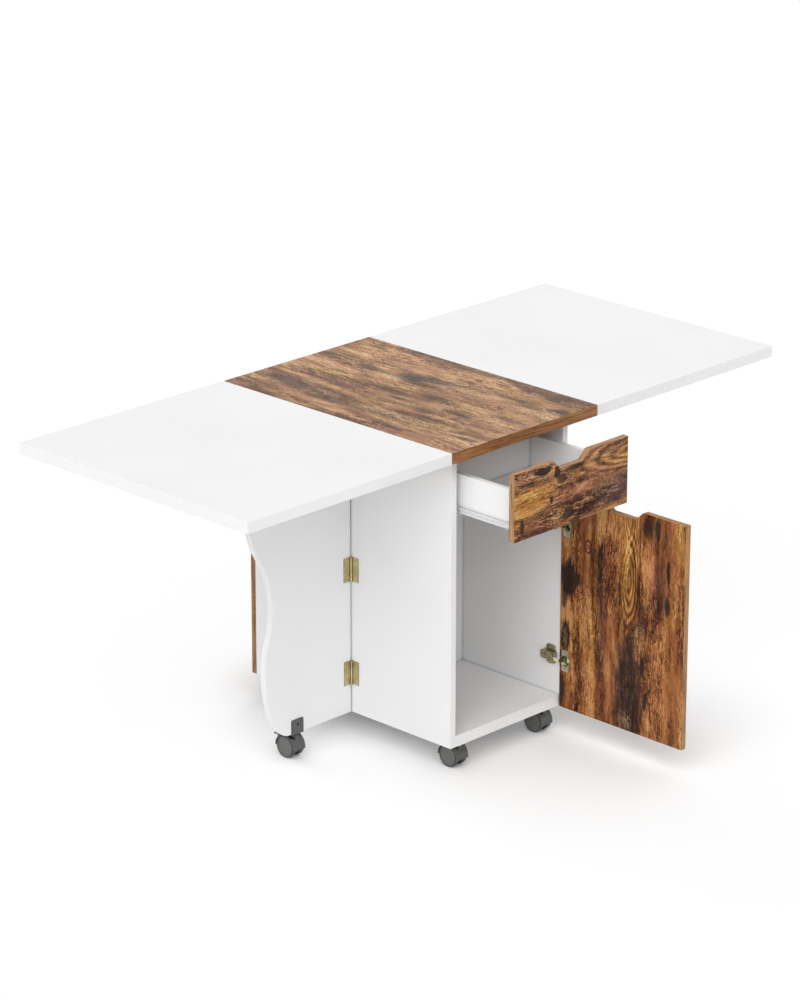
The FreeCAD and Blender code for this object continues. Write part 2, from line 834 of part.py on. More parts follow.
def front_board(top, bottom):
    """Closed front panel with its finger notch, face to face with the cabinet's front."""
    half = front_width / 2
    outline = [(-half, bottom), (half, bottom), (half, top), (notch_top_width / 2, top),
               (notch_bottom_width / 2, top - notch_depth), (-notch_bottom_width / 2, top - notch_depth),
               (-notch_top_width / 2, top), (-half, top)]
    points = [Vec(x, -closed_inner, z) for x, z in outline]
    panel = Part.Face(Part.makePolygon(points + points[:1])).extrude(FRONT * front_thickness)

    def in_notch(middle):
        return abs(middle.x) < half - edge_round and middle.z > bottom + edge_round

    panel = panel.makeFillet(notch_round, upright_edges(panel, BACK, in_notch))
    rims = [edge for edge in panel.Edges if edge.BoundBox.YLength < 1e-6]
    return panel.makeFillet(edge_round, rims)


def drawer_front():
    return front_board(drawer_front_top, drawer_front_bottom)


def drawer_sides():
    """Left and right sides of a closed front drawer, grooved for the bottom."""
    outer = -drawer_half_width
    side = box((outer, outer + drawer_board), (-closed_inner, -drawer_back_reach),
               (drawer_bottom_edge, drawer_bottom_edge + drawer_side_height))
    side = cut(side, [drawer_bottom_groove()] + drawer_runner_screws(screw_hole, -1))
    return [side, mirrored(side)]


def drawer_bottom_groove():
    low = drawer_bottom_edge + drawer_groove_height
    inner = drawer_half_width - drawer_board
    reach = inner + drawer_groove_depth
    return box((-reach, reach), (-closed_inner - overshoot, -drawer_back_reach + overshoot),
               (low, low + drawer_bottom_thickness + running_gap))


def drawer_bottom():
    low = drawer_bottom_edge + drawer_groove_height
    reach = drawer_half_width - drawer_board + drawer_groove_depth - running_gap
    return box((-reach, reach), (-closed_inner, -drawer_back_reach), (low, low + drawer_bottom_thickness))


def drawer_back():
    low = drawer_bottom_edge + drawer_groove_height + drawer_bottom_thickness + running_gap
    inner = drawer_half_width - drawer_board
    return box((-inner, inner), (-drawer_back_reach - drawer_board, -drawer_back_reach),
               (low, drawer_bottom_edge + drawer_side_height))


def roller_height():
    """Height of the rollers' centres, on both members of a runner."""
    return drawer_bottom_edge - runner_sheet - running_gap + roller_radius


def roller_at(x, y):
    return centred_rod(Vec(x, y, roller_height()), RIGHT, roller_radius, roller_width)


def roller_track():
    """Middle of the rollers' width, at the left side."""
    return -inner_half_width + runner_space / 2


def drawer_runner_screws(maker, side):
    """Screws up through the lip under a drawer side: -1 for the left, 1 for the right."""
    x = side * (drawer_half_width - drawer_board / 2)
    z = drawer_bottom_edge - runner_sheet
    ends = (-closed_inner + runner_screw_inset, -drawer_back_reach - runner_screw_inset)
    return [maker(Vec(x, y, z), UP, drawer_groove_height - hole_gap) for y in ends]


def drawer_runners():
    """Drawer members of the runners: a sheet round the side's bottom edge, with a rear roller."""
    low = drawer_bottom_edge - runner_sheet
    outer = -drawer_half_width
    ends = (-closed_inner + running_gap, -drawer_back_reach)
    lip = box((outer - runner_sheet, outer + runner_under_lip), ends, (low, drawer_bottom_edge))
    wall = box((outer - runner_sheet, outer), ends, (low, low + runner_flange_height))
    top = roller_height() + roller_radius + running_gap
    tread = box((roller_track() - roller_width / 2, outer), ends, (top, top + runner_sheet))
    member = cut(fused([lip, wall, tread]), drawer_runner_screws(screw_hole, -1))
    roller_y = -drawer_back_reach - roller_inset
    axis_start = Vec(outer, roller_y, roller_height())
    pin = rod(axis_start, LEFT, roller_pin_radius, outer - roller_track() + roller_width / 2)
    member = fused([member, pin])
    roller_centre = Vec(roller_track(), roller_y, roller_height())
    bore = centred_rod(roller_centre, RIGHT, roller_pin_radius + pin_gap, runner_space)
    roller = roller_at(roller_track(), roller_y).cut(bore)
    screws = drawer_runner_screws(wood_screw, -1)
    left = [member, roller] + screws
    return left + [mirrored(piece) for piece in left]


def rail_screws(maker, side):
    """Screws of the front rails: -1 for the left rail, 1 for the right one."""
    x = side * (inner_half_width - runner_sheet)
    z = roller_height()
    direction = LEFT if side < 0 else RIGHT
    places = (-half_depth + rail_screw_inset, -half_depth + runner_length - runner_screw_inset)
    return [maker(Vec(x, y, z), direction) for y in places]


def front_rails():
    """Cabinet members of the front drawer's runners: channels with a front roller."""
    wall = -inner_half_width
    floor = roller_height() - roller_radius - running_gap
    low = floor - runner_sheet
    high = low + runner_channel_height
    front = -half_depth + runner_setback
    ends = (front, front + runner_length)
    web = box((wall, wall + runner_sheet), ends, (low, high))
    lower = box((wall, wall + runner_bottom_lip), ends, (low, floor))
    upper = box((wall, wall + runner_top_lip), ends, (high - runner_sheet, high))
    centre = Vec(roller_track(), front + roller_inset, roller_height())
    pin = rod(Vec(wall, centre.y, centre.z), RIGHT, roller_pin_radius, centre.x - wall + roller_width / 2)
    channel = cut(fused([web, lower, upper, pin]), rail_screws(screw_hole, -1))
    bore = centred_rod(centre, RIGHT, roller_pin_radius + pin_gap, runner_space)
    roller = roller_at(centre.x, centre.y).cut(bore)
    left = [channel, roller]
    return left + [mirrored(piece) for piece in left]


# Doors -------------------------------------------------------------------------------------

def open_door(shape):
    """Swing a closed front piece about the door's hinge axis to its open place."""
    copy = shape.copy()
    copy.rotate(Vec(door_axis_x, door_axis_y, 0), UP, 90)
    return copy


def cup_centre(z):
    """Middle of a hinge cup's mouth in the closed front door."""
    return Vec(front_width / 2 - cup_edge, -closed_inner, z)


def cup_pockets():
    """Cuts in the closed front door for its hinge cups and their screws."""
    cuts = []
    for z in door_hinge_heights:
        cuts.append(rod(cup_centre(z), FRONT, cup_radius + hole_gap, cup_depth + hole_gap))
    return cuts + cup_screws(screw_hole)


def cup_screws(maker):
    made = []
    for z in door_hinge_heights:
        for step in (-flange_screw_offset, flange_screw_offset):
            made.append(maker(cup_centre(z) + Vec(0, flange_thickness, step), FRONT, cup_screw_length))
    return made


def closed_door():
    return cut(front_board(door_top, door_bottom), cup_pockets())


def hinge_cup(z):
    """Steel cup with its flange and the pin that the elbow turns on."""
    mouth = cup_centre(z)
    flange = box((mouth.x - flange_width / 2, mouth.x + flange_width / 2),
                 (mouth.y, mouth.y + flange_thickness), (z - flange_height / 2, z + flange_height / 2))
    flange = flange.makeFillet(flange_round, upright_edges(flange, BACK, lambda middle: True))
    rim = rod(mouth, BACK, cup_radius + flange_thickness, flange_thickness)
    shell = rod(mouth, FRONT, cup_radius, cup_depth)
    lip = flange_thickness + overshoot
    hollow = rod(mouth + BACK * lip, FRONT, cup_radius - cup_wall, cup_depth + lip - cup_wall)
    axis = Vec(door_axis_x, door_axis_y, z)
    bore = centred_rod(axis, UP, cup_pin_radius + pin_gap, cup_pin_length + 2 * pin_gap)
    cup = cut(fused([flange, rim, shell]), [hollow, bore])
    return [cup, centred_rod(axis, UP, cup_pin_radius, cup_pin_length)]


def door_hinge_cups():
    pieces = []
    for z in door_hinge_heights:
        cup, pin = hinge_cup(z)
        pieces += [cut(cup, cup_screws(screw_hole)), pin]
    return pieces + cup_screws(wood_screw)


def elbow(z):
    """Bent link of a hinge arm: upright at the cabinet's front, eye in the door's cup."""
    half = elbow_width / 2
    thin = elbow_thickness / 2
    reach = door_axis_x - elbow_reach
    tongue = box((reach - thin, door_axis_x), (door_axis_y - thin, door_axis_y + thin), (z - half, z + half))
    upright = box((reach - thin, reach + thin), (door_axis_y - thin, -half_depth + arm_setback + elbow_root),
                  (z - half, z + half))
    eye = centred_rod(Vec(door_axis_x, door_axis_y, z), UP, cup_eye_radius, elbow_width)
    bore_length = elbow_width + 2 * overshoot
    bore = centred_rod(Vec(door_axis_x, door_axis_y, z), UP, cup_pin_radius + pin_gap, bore_length)
    return [tongue, upright, eye], bore


def hinge_arm(z):
    """Channel-shaped arm on its mounting plate, ending in the elbow."""
    near = inner_half_width - plate_thickness
    far = near - arm_depth
    ends = (-half_depth + arm_setback, -half_depth + arm_setback + arm_length)
    middle = z + arm_lift
    sides = (middle - arm_width / 2, middle + arm_width / 2)
    bar = box((far, near), ends, sides)
    inside = box((far + arm_wall, near + overshoot), (ends[0] + arm_nose, ends[1] + overshoot),
                 (sides[0] + arm_wall, sides[1] - arm_wall))
    screw_y = ends[1] - arm_screw_setback
    head = Vec(far - arm_screw_proud, screw_y, middle)
    screw = rod(head, RIGHT, arm_screw_radius, arm_depth + arm_screw_proud)
    slot = slot_tool(head, RIGHT, UP, screw_slot_width, 2 * arm_screw_radius, screw_slot_depth)
    link, bore = elbow(z)
    arm = fused([bar.cut(inside)] + link + [screw])
    return cut(arm, [bore, slot])


def arm_plate_screws(maker):
    made = []
    for z in door_hinge_heights:
        for step in (-plate_screw_offset, plate_screw_offset):
            y = -half_depth + plate_setback + plate_width / 2
            made.append(maker(Vec(inner_half_width - plate_thickness, y, z + arm_lift + step), RIGHT))
    return made


def arm_plate(z):
    """Mounting plate of a hinge arm: a tall cross piece and a long foot under the arm."""
    sheet = (inner_half_width - plate_thickness, inner_half_width)
    front = -half_depth + plate_setback
    level = z + arm_lift
    wings = box(sheet, (front, front + plate_width), (level - plate_height / 2, level + plate_height / 2))
    wings = wings.makeFillet(plate_round, upright_edges(wings, RIGHT, lambda middle: True))
    foot = box(sheet, (-half_depth + arm_setback, -half_depth + arm_setback + arm_length),
               (level - arm_width / 2, level + arm_width / 2))
    return cut(fused([wings, foot]), arm_plate_screws(screw_hole))


def door_hinge_arms():
    pieces = []
    for z in door_hinge_heights:
        pieces += [hinge_arm(z), arm_plate(z)]
    return both_sides(pieces)


# Screws and pins that share one node -------------------------------------------------------

def cabinet_screws():
    """Every wood screw that is driven into the cabinet, the top and the leaves."""
    left = butt_fixed_screws(wood_screw) + flap_screw_places(wood_screw, True)
    left += flap_screw_places(wood_screw, False)
    front = arm_plate_screws(wood_screw) + rail_screws(wood_screw, -1) + rail_screws(wood_screw, 1)
    plates = []
    for x, y in castor_places():
        plates += castor_plate_screws(x, y, wood_screw)
    return both_sides(left + front) + plates


def leg_screws():
    return butt_leg_screws(wood_screw) + bracket_face_screws(wood_screw)


# Export ------------------------------------------------------------------------------------

def save(name, pieces):
    """Write one node, as a group of its separate solids, about the export origin."""
    solids = []
    for piece in pieces:
        solids += piece.Solids
    moved = [shifted(solid, y=-origin_y) for solid in solids]
    shape = moved[0] if len(moved) == 1 else Part.makeCompound(moved)
    shape.exportStep(os.path.join("parts", name + ".step"))


def save_cabinet():
    side = left_side_panel()
    leaf = left_leaf()
    save("table_top", [table_top()])
    save("left_leaf", [leaf])
    save("right_leaf", [turned(leaf)])
    save("leaf_hinge_inner_wings", flap_wings(True))
    save("leaf_hinge_outer_wings", flap_wings(False))
    save("hinge_pins", flap_pins() + butt_pins())
    save("leaf_support_blocks", leaf_support_blocks())
    save("left_side_panel", [side])
    save("right_side_panel", [turned(side)])
    save("base_panel", [base_panel()])
    save("centre_partition", [centre_partition()])
    save("cam_nuts", cam_nuts())
    save("cam_bolts", cam_bolts())
    save("gate_hinge_fixed_wings", butt_fixed_wings())
    save("cabinet_screws", cabinet_screws())
    save("runner_rails", both_sides(front_rails()))
    save("door_hinge_arms", door_hinge_arms())
    save("castor_plates", [castor_mounting_plate(x, y) for x, y in castor_places()])


def save_pair(left_name, right_name, pieces):
    """Save a left or front piece and its half-turn copy on the other side."""
    save(left_name, pieces)
    save(right_name, [turned(piece) for piece in pieces])


def save_legs():
    save_pair("left_gate_leg", "right_gate_leg", [left_gate_leg()])
    save_pair("left_leg_hinge_wings", "right_leg_hinge_wings", butt_leg_wings())
    save_pair("left_leg_bracket", "right_leg_bracket", [leg_bracket()])
    save_pair("left_leg_screws", "right_leg_screws", leg_screws())


def save_castor(place, x, y, braked, reverse):
    """Save one castor's hood, wheels and axle, trailing to the back or, reversed, to the front."""
    parts = {"hood": [castor_hood(braked)], "wheels": castor_wheels(), "axle": [castor_axle()]}
    if braked:
        parts["brake_lever"] = brake_lever()
    for part, pieces in parts.items():
        if reverse:
            pieces = [turned(piece) for piece in pieces]
        save(place + "_castor_" + part, [shifted(piece, x, y) for piece in pieces])


def save_castors():
    places = castor_places()
    save_castor("front_left", places[0][0], places[0][1], False, False)
    save_castor("front_right", places[1][0], places[1][1], False, False)
    save_castor("back_left", places[2][0], places[2][1], False, True)
    save_castor("back_right", places[3][0], places[3][1], False, True)
    save_castor("left_leg", leg_castor_x, leg_mid_y, True, False)
    save_castor("right_leg", -leg_castor_x, -leg_mid_y, True, True)


def save_drawers():
    parts = {"front": [drawer_front()], "sides": drawer_sides(), "back": [drawer_back()],
             "bottom": [drawer_bottom()], "runners": drawer_runners()}
    for part, pieces in parts.items():
        save("front_drawer_" + part, [shifted(piece, y=-drawer_pull) for piece in pieces])
        save("back_drawer_" + part, [turned(piece) for piece in pieces])


def save_doors():
    door = closed_door()
    cups = door_hinge_cups()
    save("front_door", [open_door(door)])
    save("front_door_hinge_cups", [open_door(piece) for piece in cups])
    save("back_door", [turned(door)])
    save("back_door_hinge_cups", [turned(piece) for piece in cups])


def main():
    os.makedirs("parts", exist_ok=True)
    save_cabinet()
    save_legs()
    save_castors()
    save_drawers()
    save_doors()


main()
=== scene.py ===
import bpy
import json
import math
from functools import reduce
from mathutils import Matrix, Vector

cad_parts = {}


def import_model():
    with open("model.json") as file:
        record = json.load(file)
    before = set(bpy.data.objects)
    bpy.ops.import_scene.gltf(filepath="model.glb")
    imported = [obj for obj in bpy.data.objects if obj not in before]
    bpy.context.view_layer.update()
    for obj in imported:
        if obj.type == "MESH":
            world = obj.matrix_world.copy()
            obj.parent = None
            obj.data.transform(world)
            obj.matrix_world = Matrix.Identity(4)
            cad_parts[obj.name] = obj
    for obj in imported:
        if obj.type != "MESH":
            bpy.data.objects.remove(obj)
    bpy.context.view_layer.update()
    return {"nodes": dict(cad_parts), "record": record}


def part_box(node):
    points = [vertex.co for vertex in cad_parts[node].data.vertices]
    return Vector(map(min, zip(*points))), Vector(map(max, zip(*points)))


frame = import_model()
nodes = frame["nodes"]
scene = bpy.context.scene

# The frame's origin lies under the middle of the opened table, this far in front of the cabinet's middle
SHIFT_Y = 0.1554


def srgb(r, g, b):
    """Linear colour of an 8-bit screen colour."""
    out = []
    for c in (r, g, b):
        c /= 255.0
        out.append(c / 12.92 if c <= 0.04045 else ((c + 0.055) / 1.055) ** 2.4)
    return (*out, 1.0)


def shade(tone, factor):
    """The same colour, lighter or darker."""
    return tuple(min(1.0, c * factor) for c in tone[:3]) + (1.0,)


# A small language for shader graphs ---------------------------------------------------------

class Val:
    """A scalar socket that can be calculated with."""

    def __init__(self, graph, socket):
        self.g = graph
        self.s = socket

    def __add__(self, o):
        return self.g.math("ADD", self, o)

    def __sub__(self, o):
        return self.g.math("SUBTRACT", self, o)

    def __mul__(self, o):
        return self.g.math("MULTIPLY", self, o)

    def __truediv__(self, o):
        return self.g.math("DIVIDE", self, o)

    def abs(self):
        return self.g.math("ABSOLUTE", self)

    def sin(self):
        return self.g.math("SINE", self)

    def sqrt(self):
        return self.g.math("SQRT", self)

    def max(self, o):
        return self.g.math("MAXIMUM", self, o)

    def step(self, lo, hi):
        """0 below lo and 1 above hi, smooth between; with lo the larger, 1 below hi and 0 above lo."""
        n = self.g.node("ShaderNodeMapRange")
        n.interpolation_type = "SMOOTHSTEP"
        n.clamp = True
        self.g.put(n.inputs["Value"], self)
        if lo < hi:
            vals = (lo, hi, 0.0, 1.0)
        else:
            vals = (hi, lo, 1.0, 0.0)
        for name, v in zip(("From Min", "From Max", "To Min", "To Max"), vals):
            n.inputs[name].default_value = v
        return Val(self.g, n.outputs["Result"])


class Graph:
    """One material's node tree."""

    def __init__(self, name):
        self.mat = bpy.data.materials.new(name)
        self.mat.use_nodes = True
        self.t = self.mat.node_tree
        self.bsdf = self.t.nodes["Principled BSDF"]

    def node(self, kind):
        return self.t.nodes.new(kind)

    def put(self, socket, value):
        """Set an input socket to a calculated value, another socket or a constant."""
        if isinstance(value, Val):
            self.t.links.new(value.s, socket)
        elif hasattr(value, "is_output"):
            self.t.links.new(value, socket)
        else:
            socket.default_value = value

    def set(self, **kw):
        """Set the shader's inputs; an underscore in a keyword stands for a space."""
        for k, v in kw.items():
            self.put(self.bsdf.inputs[k.replace("_", " ")], v)

    def math(self, op, a, b=None):
        n = self.node("ShaderNodeMath")
        n.operation = op
        self.put(n.inputs[0], a)
        if b is not None:
            self.put(n.inputs[1], b)
        return Val(self, n.outputs[0])

    def coordinates(self, kind):
        """Three scalars of the texture coordinate node."""
        n = self.node("ShaderNodeTexCoord")
        s = self.node("ShaderNodeSeparateXYZ")
        self.t.links.new(n.outputs[kind], s.inputs[0])
        return [Val(self, o) for o in s.outputs]

    def place(self):
        """Coordinates that stay with the piece, in metres."""
        return self.coordinates("Object")

    def facing(self):
        """The piece's own surface normal."""
        return self.coordinates("Normal")

    def vec(self, x, y, z):
        n = self.node("ShaderNodeCombineXYZ")
        for i, v in enumerate((x, y, z)):
            self.put(n.inputs[i], v)
        return n.outputs[0]

    def noise(self, vector, scale=1.0, detail=3.0, rough=0.55, warp=0.0):
        n = self.node("ShaderNodeTexNoise")
        self.put(n.inputs["Vector"], vector)
        n.inputs["Scale"].default_value = scale
        n.inputs["Detail"].default_value = detail
        n.inputs["Roughness"].default_value = rough
        n.inputs["Distortion"].default_value = warp
        return Val(self, n.outputs["Fac"])

    def crevice(self, distance):
        """1 deep in a corner or a gap narrower than the distance, 0 in the open: the mask for painted
        shade, from ambient occlusion.
        """
        n = self.node("ShaderNodeAmbientOcclusion")
        n.samples = 8
        n.inputs["Distance"].default_value = distance
        return Val(self, n.outputs["AO"]).step(0.85, 0.40)

    def mix(self, fac, a, b):
        n = self.node("ShaderNodeMix")
        n.data_type = "RGBA"
        self.put(n.inputs[0], fac)
        self.put(n.inputs[6], a)
        self.put(n.inputs[7], b)
        return n.outputs[2]

    def ramp(self, fac, stops):
        n = self.node("ShaderNodeValToRGB")
        self.put(n.inputs[0], fac)
        e = n.color_ramp.elements
        while len(e) < len(stops):
            e.new(0.5)
        for el, (p, c) in zip(e, stops):
            el.position = p
            el.color = c
        return n.outputs[0]

    def bump(self, height, strength, distance):
        n = self.node("ShaderNodeBump")
        n.inputs["Strength"].default_value = strength
        n.inputs["Distance"].default_value = distance
        self.put(n.inputs["Height"], height)
        self.t.links.new(n.outputs[0], self.bsdf.inputs["Normal"])


# Plain materials ----------------------------------------------------------------------------

# Frequencies of fine drawn lines: close across the lines, long along them
LINE_CLOSE = 900.0
LINE_LONG = 60.0

# Frequency of the spark-eroded grain
PLASTIC_GRAIN = 420.0


def white_laminate(name, tone, rough=0.5, gloss=0.1):
    """White melamine: a faint orange peel, a trace of unevenness and painted shade in the corners."""
    g = Graph(name)
    spot = g.vec(*g.place())
    cloud = g.noise(spot, 3.0, 2.0)
    fine = g.noise(spot, 900.0, 2.0)
    colour = g.mix(cloud.step(0.35, 0.65), shade(tone, 0.985), shade(tone, 1.012))
    # Painted shade: the colour darkens partway towards a third of its tone in corners and gaps narrower
    # than 10 mm.
    g.set(Base_Color=g.mix(g.crevice(0.010) * 0.45, colour, shade(tone, 0.35)))
    g.set(Roughness=fine * 0.06 + (rough - 0.03), Specular_IOR_Level=gloss)
    g.bump(fine, 0.03, 0.0004)
    return g.mat


def plated(name, low, high, corner_shade, rough, corner):
    """Plated metal: soft stains, fine drawn lines and painted shade in corners narrower than the given one.
    """
    g = Graph(name)
    x, y, z = g.place()
    cloud = g.noise(g.vec(x, y, z), 45.0, 3.0, 0.5)
    lines = g.noise(g.vec(x * LINE_CLOSE, y * LINE_CLOSE, z * LINE_LONG))
    colour = g.mix((cloud * 0.6 + lines * 0.4).step(0.35, 0.65), low, high)
    # Painted shade: the colour turns towards the darker tone in corners and gaps narrower than the corner
    # distance, as in the hinge cups.
    g.set(Base_Color=g.mix(g.crevice(corner) * 0.9, colour, corner_shade), Metallic=1.0)
    g.set(Roughness=cloud * 0.10 + lines * 0.12 + (rough - 0.1))
    g.bump(lines, 0.06, 0.0002)
    return g.mat


def moulded(name, low, high):
    """Moulded plastic with a spark-eroded grain and painted shade, near black, in its joints and hollows.
    """
    g = Graph(name)
    grain = g.noise(g.vec(*g.place()), PLASTIC_GRAIN, 4.0, 0.7)
    colour = g.mix(grain.step(0.35, 0.65), low, high)
    # Painted shade: nearly black in gaps and hollows within 14 mm, such as the notch between a castor's
    # wheels.
    g.set(Base_Color=g.mix(g.crevice(0.014), colour, shade(low, 0.06)))
    g.set(Roughness=grain * 0.16 + 0.37)
    g.bump(grain, 0.15, 0.0003)
    return g.mat


def wheel(name, centre, radius, rim, face):
    """Moulded wheel with a paler face crossed by a darker ring, and painted shade in its gaps; its axle
    runs along X through the centre.
    """
    g = Graph(name)
    x, y, z = g.place()
    dy = y - centre[1]
    dz = z - centre[2]
    r = (dy * dy + dz * dz).sqrt() / radius
    grain = g.noise(g.vec(x, y, z), PLASTIC_GRAIN, 4.0, 0.7)
    disc = r.step(0.92, 0.88) * g.facing()[0].abs().step(0.6, 0.8)
    dark_ring = r.step(0.24, 0.27) * r.step(0.33, 0.30) * 0.25
    tone = g.mix(disc - dark_ring, rim, g.mix(grain.step(0.3, 0.7), shade(face, 0.92), face))
    # Painted shade: nearly black where the wheel meets the hood, in gaps narrower than 6 mm.
    g.set(Base_Color=g.mix(g.crevice(0.006) * 0.9, tone, shade(rim, 0.15)))
    g.set(Roughness=grain * 0.14 + 0.38)
    g.bump(grain, 0.10, 0.0002)
    return g.mat


def leg_screw_metal(name, brass, dark, height):
    """Screws of a gate leg: dark in the castor's bracket, below the height, and brass above it."""
    g = Graph(name)
    x, y, z = g.place()
    stain = g.noise(g.vec(x, y, z), 300.0, 3.0)
    stained = g.mix(stain.step(0.3, 0.7), shade(brass, 0.8), brass)
    g.set(Base_Color=g.mix(z.step(height, height + 0.01), dark, stained), Metallic=1.0)
    g.set(Roughness=stain * 0.2 + 0.32)
    return g.mat


def hinge_arm_metal(name, low, high, link, start, end):
    """Stained nickel arms of the concealed hinges.

    Measured from the cabinet's middle, a link painted bright as a highlight runs from start to end, and
    beyond it the tip that reaches into the cup is painted darker, as shade, as are corners narrower than 5
    mm.
    """
    g = Graph(name)
    x, y, z = g.place()
    stain = g.noise(g.vec(x, y, z), 160.0, 4.0, 0.6)
    lines = g.noise(g.vec(x * LINE_CLOSE, y * LINE_LONG, z * LINE_CLOSE))
    body = g.mix((stain * 0.7 + lines * 0.3).step(0.40, 0.60), low, high)
    # Painted shade: darker in the arm's corners and gaps narrower than 5 mm.
    body = g.mix(g.crevice(0.005) * 0.9, body, shade(low, 0.25))
    reach = (y - SHIFT_Y).abs()
    # Painted shade: the tip inside the cup is a little darker.
    body = g.mix(reach.step(end, end + 0.001), body, shade(low, 0.9))
    # Painted highlight: the link is painted near white and made less metallic.
    bright = reach.step(start, start + 0.001) * reach.step(end + 0.001, end)
    g.set(Base_Color=g.mix(bright, body, g.mix(lines.step(0.3, 0.7), shade(link, 0.9), link)))
    g.set(Roughness=lines * 0.12 + 0.34, Metallic=bright * -0.6 + 1.0)
    g.bump(lines, 0.06, 0.0002)
    return g.mat


# Palettes of the wood -----------------------------------------------------------------------

LEVELS = (0.06, 0.22, 0.37, 0.50, 0.63, 0.77, 0.94)


def palette(*tones):
    """Colour ramp of seven screen colours, dark to light."""
    return [(level, srgb(*tone)) for level, tone in zip(LEVELS, tones)]


BROWN = palette((38, 20, 10), (66, 38, 21), (94, 55, 31), (124, 75, 42),
                (150, 95, 54), (168, 112, 66), (192, 142, 92))
GOLD = palette((54, 32, 14), (88, 56, 26), (120, 79, 39), (148, 100, 49),
               (172, 120, 60), (190, 141, 76), (214, 172, 106))
RUST = palette((50, 24, 15), (80, 42, 27), (110, 60, 39), (136, 77, 49),
               (158, 93, 60), (176, 110, 72), (198, 138, 96))
AMBER = palette((50, 26, 12), (82, 47, 23), (112, 66, 34), (138, 83, 45),
                (158, 99, 56), (174, 117, 70), (198, 146, 94))
PLUM = palette((30, 18, 14), (48, 31, 25), (66, 43, 35), (84, 57, 46),
               (102, 71, 57), (122, 88, 72), (156, 118, 98))
BUFF = palette((44, 26, 17), (72, 47, 32), (101, 68, 46), (131, 90, 59),
               (157, 114, 75), (175, 132, 89), (199, 154, 109))
CLAY = palette((52, 31, 22), (84, 52, 37), (114, 72, 51), (140, 92, 65),
               (162, 109, 78), (182, 129, 93), (202, 150, 112))
# The top's palettes are paler and greyer at the dark end: a painted sheen, the haze of the glossy top seen
# at a grazing angle.
PAINTED_SHEEN = palette((72, 51, 37), (98, 73, 56), (124, 93, 69), (150, 112, 82),
               (171, 131, 96), (188, 148, 110), (214, 175, 134))
PAINTED_SHEEN_GOLD = palette((80, 59, 37), (108, 82, 54), (134, 103, 67), (160, 124, 80),
                    (180, 142, 93), (198, 160, 108), (222, 186, 136))
PAINTED_SHEEN_RUST = palette((70, 46, 37), (96, 67, 54), (122, 87, 69), (148, 105, 82),
                    (168, 121, 93), (186, 139, 106), (208, 163, 128))

KNOT = srgb(34, 21, 16)


# Rustic wood --------------------------------------------------------------------------------

# Layers of noise drawn out along the grain: frequency along and across it, detail and roughness
BOARD = (2.6, 17.0, 2.0, 0.5)
BELT = (7.0, 52.0, 3.0, 0.55)
STREAK = (17.0, 150.0, 4.0, 0.7)
HAIR = (42.0, 400.0, 3.0, 0.7)
CALM = (6.0, 20.0, 2.0, 0.5)
VEIN = (3.0, 85.0, 3.0, 0.6)
WARMTH = (3.4, 24.0, 3.0, 0.55)
ASH = (7.0, 42.0, 5.0, 0.7)

# The banding's noise: frequency along the edge and through the board
BANDING = (14.0, 260.0)


